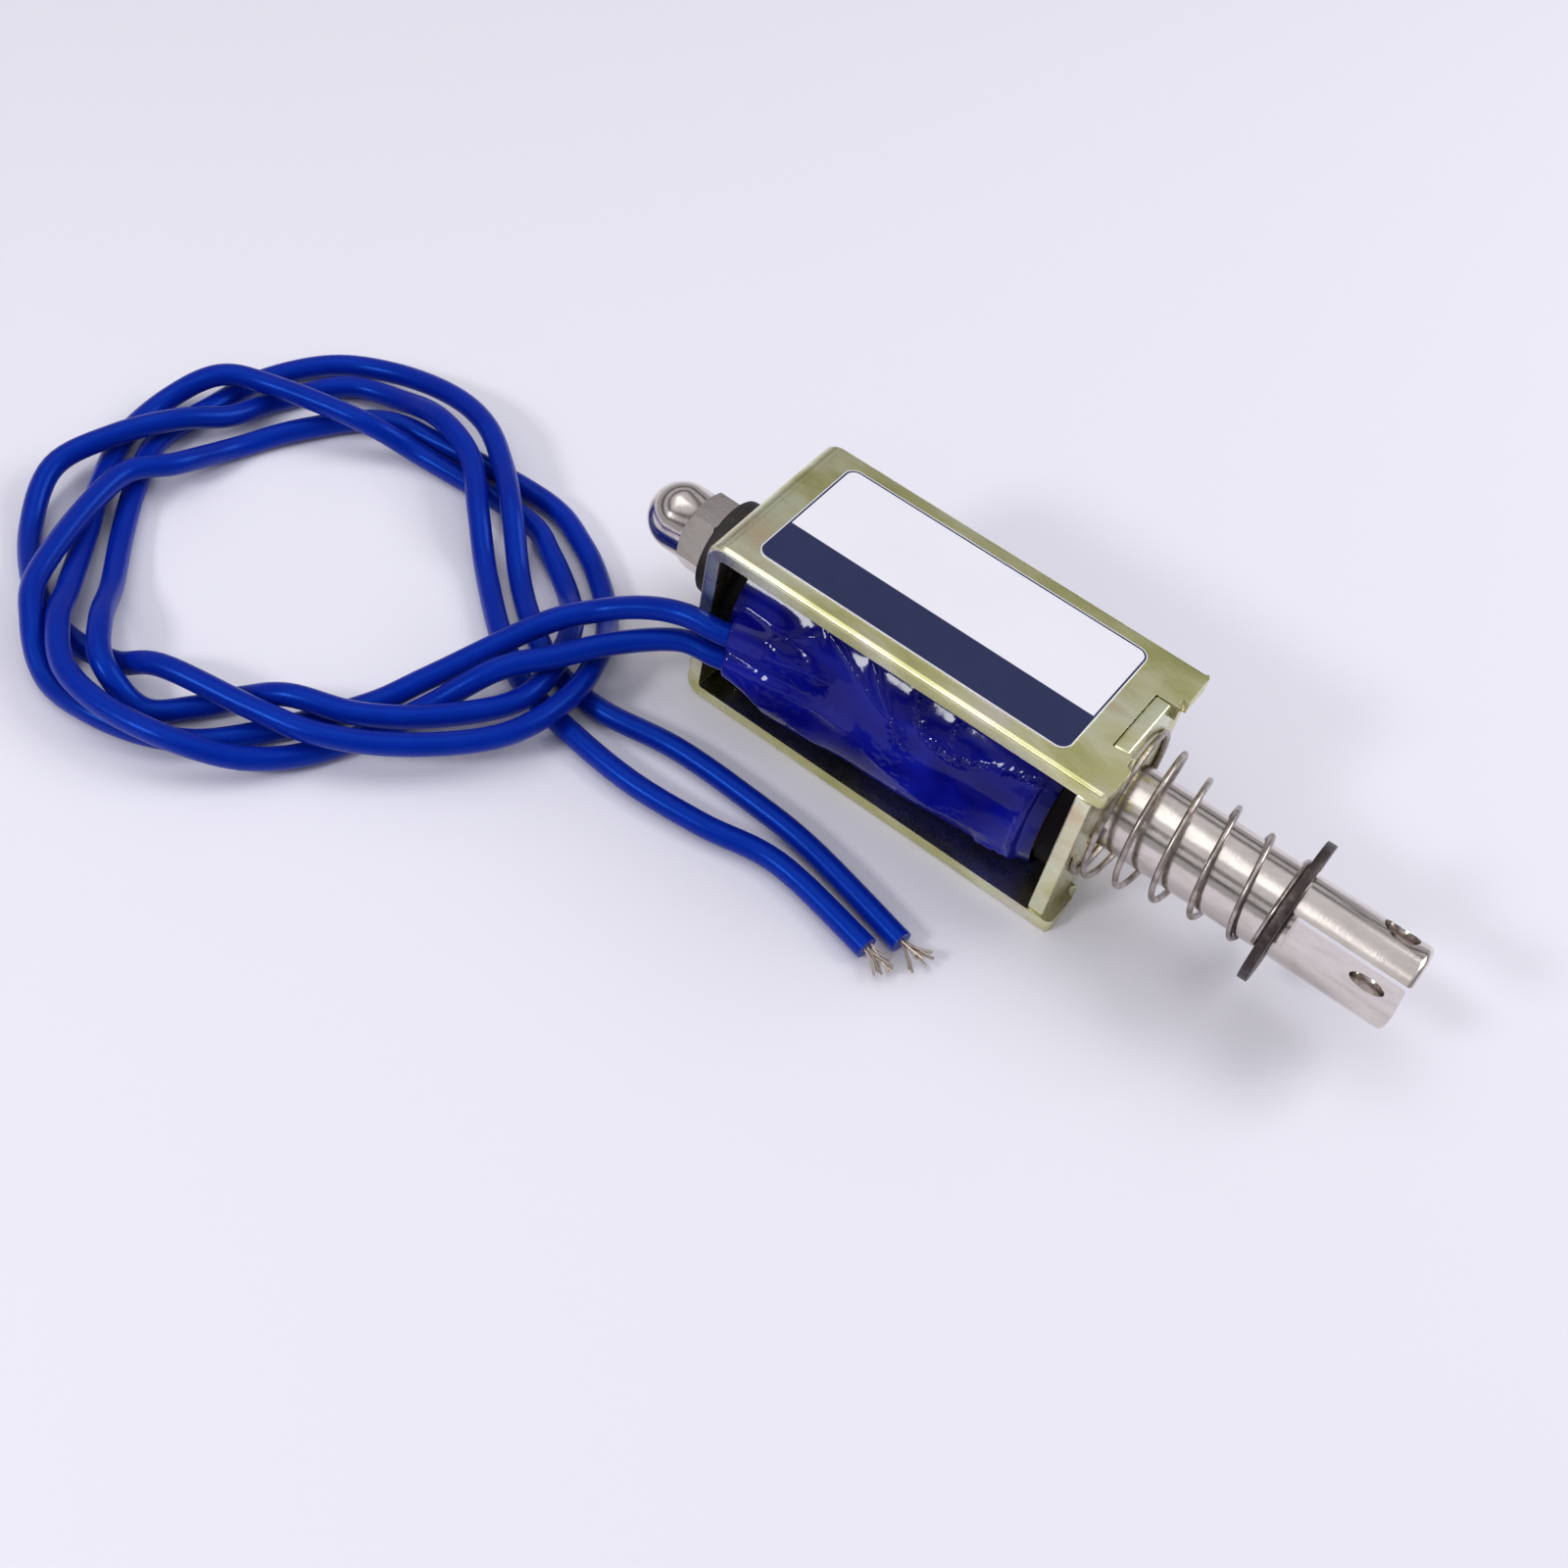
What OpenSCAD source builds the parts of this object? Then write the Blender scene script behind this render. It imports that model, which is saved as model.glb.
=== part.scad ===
// Push-pull solenoid with an open frame, a clevis plunger and a conical return spring.
// +X runs along the plunger towards the clevis, +Z is the label side.
// The origin is the middle of the two tapped mounting holes, on the underside of the frame.

/* [Frame] */
// Length of the frame over its legs
frame_len = 32; // [31:0.5:38]
// Width of the steel strip
frame_w = 14; // [13.8:0.1:17]
// Height over both legs
frame_h = 15.6; // [15.6:0.1:18]
// Thickness of the frame strip
strip_t = 1.2; // [1:0.05:1.3]
// Inside radius of the two bends
bend_r = 0.3; // [0.2:0.1:0.8]
// Thickness of the front plate
plate_t = 1.2; // [0.8:0.1:1.4]
// Depth of the front plate behind the ends of the legs
plate_set = 0.8; // [0.5:0.1:1.2]
// Width of the tabs on the front plate
tab_w = 5.7; // [4:0.1:7]
// Distance between the mounting holes
mount_pitch = 15; // [10:0.5:20]
// Tap drill of the mounting holes
mount_d = 2.5; // [2:0.1:3.3]
// Radius on the corners of the legs and of the front plate
corner_r = 0.5; // [0.2:0.1:0.9]
// Radius of the staking marks beside the tabs
stake_r = 0.55; // [0.3:0.05:0.8]

/* [Label] */
// Length of the label
label_len = 25; // [18:0.5:26]
// Width of the label
label_w = 11.3; // [8:0.1:12]
// Corner radius of the label
label_r = 0.9; // [0.3:0.1:2]
// Thickness of the label
label_t = 0.12; // [0.08:0.01:0.2]

/* [Coil] */
// Thickness of the bobbin flanges
flange_t = 1.4; // [0.8:0.1:2]
// Wall of the bobbin tube
bobbin_wall = 0.6; // [0.4:0.1:0.9]
// Clearance between the film and the legs of the frame
film_gap = 0.3; // [0.1:0.1:0.5]
// Thickness of the insulating film on the winding
film_t = 0.3; // [0.15:0.05:0.4]

/* [Plunger] */
// Diameter of the plunger
plunger_d = 6.4; // [6:0.1:6.6]
// Length of the plunger from the clevis end to the cone
plunger_len = 33.2; // [31:0.5:36]
// Length that stands out of the front plate at rest
reach = 22.5; // [21.5:0.5:25]
// Travel of the plunger
stroke = 10; // [6:0.5:10]
// Radial clearance of the plunger in its guide
guide_gap = 0.05; // [0.03:0.01:0.08]
// Wall of the brass guide tube
guide_wall = 0.3; // [0.2:0.05:0.4]
// Depth of the cone on the plunger
cone_len = 2.4; // [1.5:0.1:3]
// Radius of the flat at the tip of the cone
cone_tip_r = 1.8; // [1.7:0.1:2.4]
// Width of the clevis slot
slot_w = 2.4; // [1.6:0.1:3]
// Depth of the clevis slot
slot_len = 8.3; // [6:0.1:8.4]
// Diameter of the cross hole through the clevis
pin_d = 2.6; // [1.5:0.1:3]
// Distance of the cross hole from the clevis end
pin_set = 2.4; // [2:0.1:4]
// Turn of the clevis about the plunger axis
clevis_turn = 60; // [0:5:90]
// Radius on the end edge of the clevis
edge_r = 0.45; // [0.2:0.05:0.7]

/* [Push rod and cap nut] */
// Diameter of the push rod
rod_d = 3; // [2.4:0.1:3.2]
// Radial clearance of the rod in the fixed pole
rod_gap = 0.08; // [0.05:0.01:0.1]
// Depth of the rod in the plunger
rod_seat = 4.4; // [3:0.1:6]
// Thickness of the rubber bumper
bumper_t = 2.6; // [1.5:0.1:3]
// Diameter of the rubber bumper
bumper_d = 7.6; // [6.5:0.1:9]
// Width across the flats of the cap nut
nut_af = 5.5; // [5:0.1:6]
// Height of the hexagon
nut_hex_h = 2.4; // [2:0.1:3]
// Height of the cap nut over its dome
nut_h = 6.6; // [6:0.1:7.5]

/* [Spring and clip] */
// Wire of the return spring
wire_d = 0.45; // [0.3:0.05:0.5]
// Diameter of the large end of the spring, to the middle of the wire
coil_big_d = 11.3; // [9:0.1:12]
// Length that the spring has between the front plate and the clip at rest
spring_len = 13; // [12.5:0.25:13.5]
// Number of working turns
coil_turns = 5; // [4:0.5:6]
// Thickness of the retaining clip
clip_t = 0.7; // [0.5:0.05:0.8]
// Outside diameter of the retaining clip
clip_d = 10.8; // [9.6:0.1:12]
// Diameter of the groove for the clip
groove_d = 5; // [4.6:0.1:5.2]
// Clearance of the clip in its groove
clip_gap = 0.05; // [0.03:0.01:0.1]

/* [Leads] */
// Diameter over the insulation of a lead
lead_d = 1.7; // [1.2:0.1:1.7]
// Diameter of one copper strand
strand_d = 0.22; // [0.15:0.01:0.3]
// Length of the bare strands
strand_len = 4.5; // [3:0.5:8]

/* [Hidden] */
$fn = 96;
eps = 0.01;
over = 1;             // how far a cut runs past the faces that it cuts
rest_gap = 0.05;      // between the bumper and the frame at rest
stop_gap = 0.3;       // left between plunger and pole at the end of the stroke
tab_gap = 0.05;       // between a tab and its notch
mid_z = frame_h / 2;
rear_x = -frame_len / 2;
front_x = frame_len / 2;
inner_h = frame_h - 2 * strip_t;
plate_x = front_x - plate_set;
coil_x0 = rear_x + strip_t + flange_t;
coil_x1 = plate_x - plate_t - flange_t;
plunger_r = plunger_d / 2;
guide_r = plunger_r + guide_gap;
bobbin_r = guide_r + guide_wall;
winding_r0 = bobbin_r + bobbin_wall;
film_r = inner_h / 2 - film_gap;
winding_r = film_r - film_t;
film_slack = frame_w / 2 - film_r;  // the film is level with the edges of the frame
end_x = plate_x + reach;
shoulder_x = end_x - plunger_len;
pole_x = shoulder_x - stroke - stop_gap;
spigot_r = guide_r - 0.9;         // spigot of the pole, riveted into the back of the frame
rod_r = rod_d / 2;
bumper_x = rear_x - rest_gap;
nut_x = bumper_x - bumper_t;
dome_r = nut_af / 2 - 0.1;
rod_end_x = nut_x - nut_h + dome_r - 0.6;
clip_x = plate_x + spring_len;    // spring side face of the clip
pin_x = end_x - pin_set;
wire_r = wire_d / 2;
coil_small_r = plunger_r + wire_r + 0.05;
dead_big = 0.6;                   // dead turns against the front plate
dead_small = 0.4;                 // dead turns against the clip
coil_phase = 42;
label_x = -0.5;

drawn_rear_x = -16;   // place of the rear wall that the routes were drawn beside
drawn_half_w = 7;     // and of the open side

// Routes of the leads, chosen by hand: [x, y, z] of the middle of each lead.
lead_a_route = [
    [-10.5, -6.8, 9], [-13, -7.8, 9], [-16, -8.3, 9], [-19, -9, 8], [-22, -10.5, 6.5], [-24.5, -13.5, 5.5],
    [-28.5, -20.5, 2.5], [-31, -25, 1], [-35.5, -33, 1], [-39, -36, 1], [-43.5, -37.5, 1],
    [-48, -37.5, 1], [-51.5, -35.5, 2.5], [-54.5, -32, 3], [-57.5, -22.5, 3], [-56, -18, 2.5],
    [-55.5, -13, 1], [-53.5, -8, 1], [-50, -3, 1], [-45, -1.5, 1], [-35, -0.5, 1], [-30, -2, 1],
    [-26, -4.5, 1], [-23, -7.5, 1.5], [-21, -11, 3], [-20, -15.5, 3], [-21, -21, 3], [-25, -26, 3],
    [-30, -29.5, 3], [-35, -31, 3], [-42, -32.5, 3], [-46, -33.5, 1], [-50.5, -34, 1],
    [-55, -32.5, 1], [-59.5, -29, 1], [-62, -24.5, 2.5], [-61, -19.5, 3], [-59, -15, 3],
    [-57.5, -11.5, 2], [-57, -7, 1], [-54.5, -2, 1], [-50, -0.5, 1.5], [-45.5, -1, 3],
    [-41, -2.5, 3], [-37, -6, 2.5], [-33.5, -9, 1], [-28.5, -13, 1], [-24, -15.5, 1],
    [-19, -16.5, 1], [-13, -17, 1], [-7, -16.5, 1], [-1, -15.5, 1], [7.5, -17, 1]];
lead_b_route = [
    [-10.5, -6.8, 6.5], [-13, -7.8, 6.5], [-16, -8.5, 6.5], [-19.5, -11, 5.5], [-22, -14.5, 5],
    [-24.5, -18, 4.5], [-27, -22, 2], [-28.5, -25, 1], [-30.5, -30, 1], [-33, -34, 2],
    [-37, -36.5, 3], [-42, -37.5, 3], [-46.5, -37, 3], [-50, -34.5, 3], [-52.5, -31.5, 2.1],
    [-56.5, -26.5, 1], [-59.5, -22.5, 1], [-62, -18, 1], [-62.5, -13, 1.5], [-60.5, -9.5, 3],
    [-57, -7.5, 3], [-49.5, -5.5, 3], [-45, -3.5, 1], [-35, -3, 1], [-31, -4.5, 1], [-27, -7, 1],
    [-24, -10.5, 3], [-22.5, -14.5, 3], [-22.5, -18.5, 3], [-25.5, -23, 3], [-29.5, -26.5, 3],
    [-34, -28.5, 3], [-37, -30, 1.5], [-39, -32.5, 1], [-41.5, -35, 1], [-45, -35, 3],
    [-48, -32.5, 3], [-51, -29, 1.5], [-54.5, -25, 1], [-57.5, -21, 1], [-60, -16.5, 1],
    [-60, -11, 1], [-59.5, -6, 1], [-57, -1, 1], [-52.5, 1.5, 1.5], [-47, 2, 2.5], [-42.5, 1, 3],
    [-38.5, -1.5, 3], [-35, -4.5, 3], [-31, -8, 1], [-27, -11, 1], [-23, -13, 1],
    [-18.5, -13.5, 1], [-12.5, -12.5, 1], [-6, -12.5, 1], [0, -13, 1], [9, -15, 1]];

// ---- helpers ----

// Places children drawn along +Z with their foot at height x on the plunger axis.
module on_axis(x) {
    translate([x, 0, mid_z]) rotate([0, 90, 0]) children();
}

// A round piece between two places on the plunger axis.
module rod(x0, x1, r) {
    on_axis(x0) cylinder(h = x1 - x0, r = r);
}

// A tube between two places on the plunger axis.
module sleeve(x0, x1, r_out, r_in) {
    difference() {
        rod(x0, x1, r_out);
        rod(x0 - over, x1 + over, r_in);
    }
}

// A bar across the frame, given by its corners in X and Z.
module bar(x0, x1, z0, z1, w) {
    translate([x0, -w / 2, z0]) cube([x1 - x0, w, z1 - z0]);
}

function unit(v) = v / norm(v);
function heading(path, i) = unit(path[min(i + 1, len(path) - 1)] - path[max(i - 1, 0)]);

// One ring of points round a place on a route. The first point lies level with the route.
function ring(centre, along, r, sides) =
    let (u = unit(cross(along, [0, 0, 1])), v = cross(along, u))
    [for (k = [0 : sides - 1]) centre + r * (cos(360 * k / sides) * u + sin(360 * k / sides) * v)];

// A closed tube from a list of rings.
module skin(rings) {
    n = len(rings);
    s = len(rings[0]);
    sides = [for (i = [0 : n - 2], k = [0 : s - 1])
        [i * s + k, i * s + (k + 1) % s, (i + 1) * s + (k + 1) % s, (i + 1) * s + k]];
    foot = [[for (k = [s - 1 : -1 : 0]) k]];
    head = [[for (k = [0 : s - 1]) (n - 1) * s + k]];
    polyhedron([for (r = rings) for (p = r) p], concat(sides, foot, head), convexity = 10);
}

// ---- frame ----

// Side view of the bent strip, as an outline in X and Z.
module strip_profile() {
    outer = bend_r + strip_t;
    difference() {
        union() {
            translate([rear_x + outer, 0]) square([frame_len - outer, frame_h]);
            translate([rear_x, outer]) square([outer, frame_h - 2 * outer]);
            for (z = [outer, frame_h - outer])
                translate([rear_x + outer, z]) circle(r = outer);
        }
        translate([rear_x + outer, strip_t]) square([frame_len, inner_h]);
        translate([rear_x + strip_t, outer]) square([outer, frame_h - 2 * outer]);
        for (z = [outer, frame_h - outer])
            translate([rear_x + outer, z]) circle(r = bend_r);
    }
}

// Seen from above, the strip has round corners at the ends of its legs.
module strip_plan() {
    translate([rear_x, -frame_w / 2]) square([frame_len - corner_r, frame_w]);
    translate([rear_x, corner_r - frame_w / 2]) square([frame_len, frame_w - 2 * corner_r]);
    for (s = [-1, 1])
        translate([front_x - corner_r, s * (frame_w / 2 - corner_r)]) circle(r = corner_r);
}

// Notch at the end of a leg that takes a tab, and the two staking marks beside it.
module leg_notch(z) {
    half = tab_w / 2 + tab_gap;
    translate([plate_x - plate_t - tab_gap, -half, z - over]) cube([frame_len, 2 * half, strip_t + 2 * over]);
    for (s = [-1, 1]) translate([front_x, s * (half + 0.9 * stake_r), z - over])
        cylinder(h = strip_t + 2 * over, r = stake_r);
}

module yoke_frame() {
    color([0.72, 0.72, 0.52]) difference() {
        intersection() {
            translate([0, frame_w / 2, 0]) rotate([90, 0, 0]) linear_extrude(frame_w) strip_profile();
            linear_extrude(frame_h) strip_plan();
        }
        leg_notch(0);
        leg_notch(frame_h - strip_t);
        rod(rear_x - over, rear_x + strip_t + over, spigot_r);
        for (s = [-1, 1])
            translate([s * mount_pitch / 2, 0, -over]) cylinder(h = strip_t + 2 * over, d = mount_d);
    }
}

// Outline of the front plate, with Z across and Y up.
module plate_outline() {
    half_h = inner_h / 2;
    half_w = frame_w / 2;
    square([2 * half_h, 2 * (half_w - corner_r)], center = true);
    square([2 * (half_h - corner_r), 2 * half_w], center = true);
    square([frame_h, tab_w], center = true);
    for (sz = [-1, 1], sy = [-1, 1])
        translate([sz * (half_h - corner_r), sy * (half_w - corner_r)]) circle(r = corner_r);
}

module front_plate() {
    color([0.74, 0.74, 0.56]) on_axis(plate_x - plate_t) linear_extrude(plate_t) difference() {
        plate_outline();
        circle(r = bobbin_r);
    }
}

module label() {
    color([0.88, 0.88, 0.9]) translate([label_x, 0, frame_h]) linear_extrude(label_t) {
        square([label_len - 2 * label_r, label_w], center = true);
        square([label_len, label_w - 2 * label_r], center = true);
        for (sx = [-1, 1], sy = [-1, 1])
            translate([sx * (label_len / 2 - label_r), sy * (label_w / 2 - label_r)]) circle(r = label_r);
    }
}

// ---- coil ----

module bobbin() {
    flange_r = inner_h / 2 - bend_r;
    color([0.08, 0.08, 0.09]) difference() {
        union() {
            rod(coil_x0 - flange_t, coil_x0, flange_r);
            rod(coil_x1, coil_x1 + flange_t, flange_r);
            rod(coil_x0 - eps, coil_x1 + eps, winding_r0);
        }
        rod(coil_x0 - flange_t - over, coil_x1 + flange_t + over, bobbin_r);
    }
}

module coil_winding() {
    color([0.72, 0.38, 0.16]) sleeve(coil_x0, coil_x1, winding_r, winding_r0);
}

// The film hugs the winding above and below and stands loose on the open sides.
module coil_wrap() {
    color([0.03, 0.07, 0.55]) difference() {
        on_axis(coil_x0) linear_extrude(coil_x1 - coil_x0) {
            square([2 * film_r, 2 * film_slack], center = true);
            for (s = [-1, 1]) translate([0, s * film_slack]) circle(r = film_r);
        }
        rod(coil_x0 - over, coil_x1 + over, winding_r);
    }
}

module guide_tube() {
    color([0.8, 0.62, 0.25]) sleeve(rear_x + strip_t, plate_x, bobbin_r, guide_r);
}

// Fixed pole with a conical seat for the plunger, riveted into the back of the frame.
module fixed_pole() {
    color([0.66, 0.67, 0.68]) difference() {
        union() {
            rod(rear_x + strip_t, pole_x, guide_r);
            rod(rear_x, rear_x + strip_t + eps, spigot_r);
        }
        rod(rear_x - over, pole_x + over, rod_r + rod_gap);
        on_axis(pole_x - cone_len)
            cylinder(h = cone_len + eps, r1 = cone_tip_r, r2 = plunger_r);
    }
}

// ---- moving pieces ----

// Outline of half the plunger, as radius against place along the axis.
module plunger_profile() {
    groove_x = clip_x - clip_gap;
    groove_w = clip_t + 2 * clip_gap;
    difference() {
        union() {
            polygon([[0, shoulder_x - cone_len], [cone_tip_r, shoulder_x - cone_len],
                     [plunger_r, shoulder_x], [plunger_r, end_x - edge_r],
                     [plunger_r - edge_r, end_x], [0, end_x]]);
            intersection() {
                translate([plunger_r - edge_r, end_x - edge_r]) circle(r = edge_r);
                translate([plunger_r - edge_r, end_x - edge_r]) square(edge_r);
            }
        }
        translate([groove_d / 2, groove_x]) square([plunger_r, groove_w]);
    }
}

module plunger() {
    color([0.82, 0.81, 0.79]) difference() {
        on_axis(0) rotate_extrude() plunger_profile();
        rod(shoulder_x - cone_len - over, shoulder_x - cone_len + rod_seat, rod_r);
        translate([0, 0, mid_z]) rotate([clevis_turn, 0, 0]) {
            translate([end_x - slot_len, -slot_w / 2, -plunger_d])
                cube([slot_len + over, slot_w, 2 * plunger_d]);
            translate([pin_x, plunger_d, 0]) rotate([90, 0, 0]) cylinder(h = 2 * plunger_d, d = pin_d);
        }
    }
}

module push_rod() {
    color([0.76, 0.75, 0.72]) rod(rod_end_x, shoulder_x - cone_len + rod_seat, rod_r);
}

module bumper() {
    color([0.1, 0.09, 0.09]) sleeve(nut_x, bumper_x, bumper_d / 2, rod_r);
}

// Hexagon whose corners are cut by a cone at both faces.
module nut_hex() {
    corner_r = nut_af / 2 / cos(30);
    cut = (corner_r - nut_af / 2) * tan(30) * 1.2;
    intersection() {
        cylinder(h = nut_hex_h, r = corner_r, $fn = 6);
        rotate_extrude() polygon([[0, 0], [nut_af / 2, 0], [corner_r + eps, cut],
                                  [corner_r + eps, nut_hex_h - cut], [nut_af / 2, nut_hex_h], [0, nut_hex_h]]);
    }
}

module cap_nut() {
    color([0.84, 0.83, 0.8]) on_axis(nut_x) rotate([0, 180, 0]) difference() {
        union() {
            rotate([0, 0, 30]) nut_hex();
            translate([0, 0, nut_hex_h - eps]) cylinder(h = nut_h - dome_r - nut_hex_h + 2 * eps, r = dome_r);
            translate([0, 0, nut_h - dome_r]) intersection() {
                sphere(r = dome_r);
                translate([0, 0, dome_r]) cube(2 * dome_r, center = true);
            }
        }
        translate([0, 0, -over]) cylinder(h = nut_x - rod_end_x + over, r = rod_r);
    }
}

// Retaining clip with three inner pads and an open mouth.
module e_clip() {
    pad_r = groove_d / 2 + clip_gap;
    relief_r = 0.38 * (clip_d / 2 - pad_r);
    mouth = 1.8 * pad_r;
    color([0.16, 0.13, 0.13]) on_axis(clip_x) linear_extrude(clip_t) rotate(100) difference() {
        circle(d = clip_d);
        circle(r = pad_r);
        for (a = [60, 115, 245, 300])
            rotate(a) translate([pad_r + relief_r / 6, 0]) circle(r = relief_r);
        translate([0, -mouth / 2]) square([clip_d, mouth]);
    }
}

// Place of the spring wire after a number of turns. The last turn at each end is dead.
function lift(t) = pow(min(max((t - dead_big) / coil_turns, 0), 1), 1.2);
function coil_x(t) = plate_x + wire_r + (clip_x - plate_x - wire_d) * lift(t);
function coil_r(t) = coil_small_r + (coil_big_d / 2 - coil_small_r) * pow(1 - lift(t), 1.8);
function coil_turn(t) = coil_phase + 360 * (t - dead_big);
function coil_out(t) = [0, cos(coil_turn(t)), sin(coil_turn(t))];
function coil_at(t) = [coil_x(t), 0, mid_z] + coil_r(t) * coil_out(t);

// One ring of points round the wire. The first point faces away from the plunger.
function wire_ring(t) =
    let (along = unit(coil_at(t + 0.01) - coil_at(t - 0.01)),
         side = unit(cross(along, coil_out(t))),
         out = cross(side, along))
    [for (k = [0 : 7]) coil_at(t) + wire_r * (cos(45 * k) * out + sin(45 * k) * side)];

module return_spring() {
    turns = dead_big + coil_turns + dead_small;
    steps = ceil(turns * 20);
    color([0.5, 0.48, 0.46]) skin([for (i = [0 : steps]) wire_ring(turns * i / steps)]);
}

// ---- leads ----

// Puts children beside the open side and the rear wall, wherever those are.
module beside_frame() {
    translate([rear_x - drawn_rear_x, drawn_half_w - frame_w / 2, 0]) children();
}

module lead(path) {
    color([0.02, 0.12, 0.66]) beside_frame()
        skin([for (i = [0 : len(path) - 1]) ring(path[i], heading(path, i), lead_d / 2, 8)]);
}

// Bare strands that fan out from the end of a lead. The last one runs straight on.
module strands(path, spread) {
    tip = path[len(path) - 1];
    along = heading(path, len(path) - 1);
    turn = atan2(along[1], along[0]);
    off = 1.4 * strand_d;
    color([0.7, 0.66, 0.62]) beside_frame() translate(tip) rotate([0, 0, turn]) {
        for (a = [0 : 60 : 300])
            translate([0, off * cos(a), off * sin(a)]) rotate([0, 90 + 3 * sin(a), spread * cos(a)])
                cylinder(h = strand_len * (1 - a / 1000), d = strand_d, $fn = 16);
        rotate([0, 90, 0]) cylinder(h = strand_len, d = strand_d, $fn = 16);
    }
}

module lead_a() { lead(lead_a_route); }
module lead_b() { lead(lead_b_route); }
module lead_a_strands() { strands(lead_a_route, 9); }
module lead_b_strands() { strands(lead_b_route, 12); }

yoke_frame();
front_plate();
label();
bobbin();
coil_winding();
coil_wrap();
guide_tube();
fixed_pole();
return_spring();
e_clip();
plunger();
push_rod();
bumper();
cap_nut();
lead_a();
lead_b();
lead_a_strands();
lead_b_strands();
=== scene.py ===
import math
import random

import bmesh
import bpy
from mathutils import Matrix, Vector, noise


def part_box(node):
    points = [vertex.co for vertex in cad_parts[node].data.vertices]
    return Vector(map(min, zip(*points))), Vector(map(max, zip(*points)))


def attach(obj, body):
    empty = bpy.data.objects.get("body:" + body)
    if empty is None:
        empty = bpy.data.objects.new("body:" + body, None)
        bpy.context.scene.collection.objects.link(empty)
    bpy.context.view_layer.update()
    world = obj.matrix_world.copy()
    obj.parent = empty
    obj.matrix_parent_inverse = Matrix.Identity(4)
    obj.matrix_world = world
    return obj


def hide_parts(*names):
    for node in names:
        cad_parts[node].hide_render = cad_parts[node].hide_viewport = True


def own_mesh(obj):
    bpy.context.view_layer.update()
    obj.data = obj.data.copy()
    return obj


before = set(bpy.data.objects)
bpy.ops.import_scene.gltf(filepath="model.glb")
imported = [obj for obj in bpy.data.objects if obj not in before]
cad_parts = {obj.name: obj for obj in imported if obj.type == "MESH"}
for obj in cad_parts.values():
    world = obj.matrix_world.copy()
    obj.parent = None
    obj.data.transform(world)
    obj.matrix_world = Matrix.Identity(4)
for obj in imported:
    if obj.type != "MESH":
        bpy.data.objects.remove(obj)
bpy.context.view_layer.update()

MM = 0.001


# ---- camera ----

CAMERA_AT = Vector((32.77, -87.16, 110.92)) * MM
LOOKS_AT = Vector((-5.2, -9.05, 0)) * MM
CAMERA_ROLL = math.radians(13.55)
LENS = 45.38
SENSOR = 36


def set_camera():
    """Puts the camera above the open side, a little past the clevis end."""
    data = bpy.data.cameras.new("camera")
    data.lens = LENS
    data.sensor_width = SENSOR
    data.clip_start = 0.005
    data.clip_end = 5
    camera = bpy.data.objects.new("camera", data)
    bpy.context.scene.collection.objects.link(camera)
    turn = (LOOKS_AT - CAMERA_AT).to_track_quat("-Z", "Y").to_matrix().to_4x4()
    camera.matrix_world = Matrix.Translation(CAMERA_AT) @ turn @ Matrix.Rotation(CAMERA_ROLL, 4, "Z")
    bpy.context.scene.camera = camera


set_camera()


# ---- leads ----

LEAD_D = 1.7 * MM
LEAD_SIDES = 20
SMOOTH_BEND = 60

# The route of each lead from the film to its free end, in millimetres.
LEAD_A = [
    (-10.5, -6.8, 9), (-13, -7.8, 9), (-16, -8.3, 9), (-19, -9, 8), (-22, -10.5, 6.5), (-24.5, -13.5, 5.5),
    (-28.5, -20.5, 2.5), (-31, -25, 1), (-35.5, -33, 1), (-39, -36, 1), (-43.5, -37.5, 1),
    (-48, -37.5, 1), (-51.5, -35.5, 2.5), (-54.5, -32, 3), (-57.5, -22.5, 3), (-56, -18, 2.5),
    (-55.5, -13, 1), (-53.5, -8, 1), (-50, -3, 1), (-45, -1.5, 1), (-35, -0.5, 1), (-30, -2, 1),
    (-26, -4.5, 1), (-23, -7.5, 1.5), (-21, -11, 3), (-20, -15.5, 3), (-21, -21, 3), (-25, -26, 3),
    (-30, -29.5, 3), (-35, -31, 3), (-42, -32.5, 3), (-46, -33.5, 1), (-50.5, -34, 1),
    (-55, -32.5, 1), (-59.5, -29, 1), (-62, -24.5, 2.5), (-61, -19.5, 3), (-59, -15, 3),
    (-57.5, -11.5, 2), (-57, -7, 1), (-54.5, -2, 1), (-50, -0.5, 1.5), (-45.5, -1, 3),
    (-41, -2.5, 3), (-37, -6, 2.5), (-33.5, -9, 1), (-28.5, -13, 1), (-24, -15.5, 1),
    (-19, -16.5, 1), (-13, -17, 1), (-7, -16.5, 1), (-1, -15.5, 1), (7.5, -17, 1)]
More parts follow.
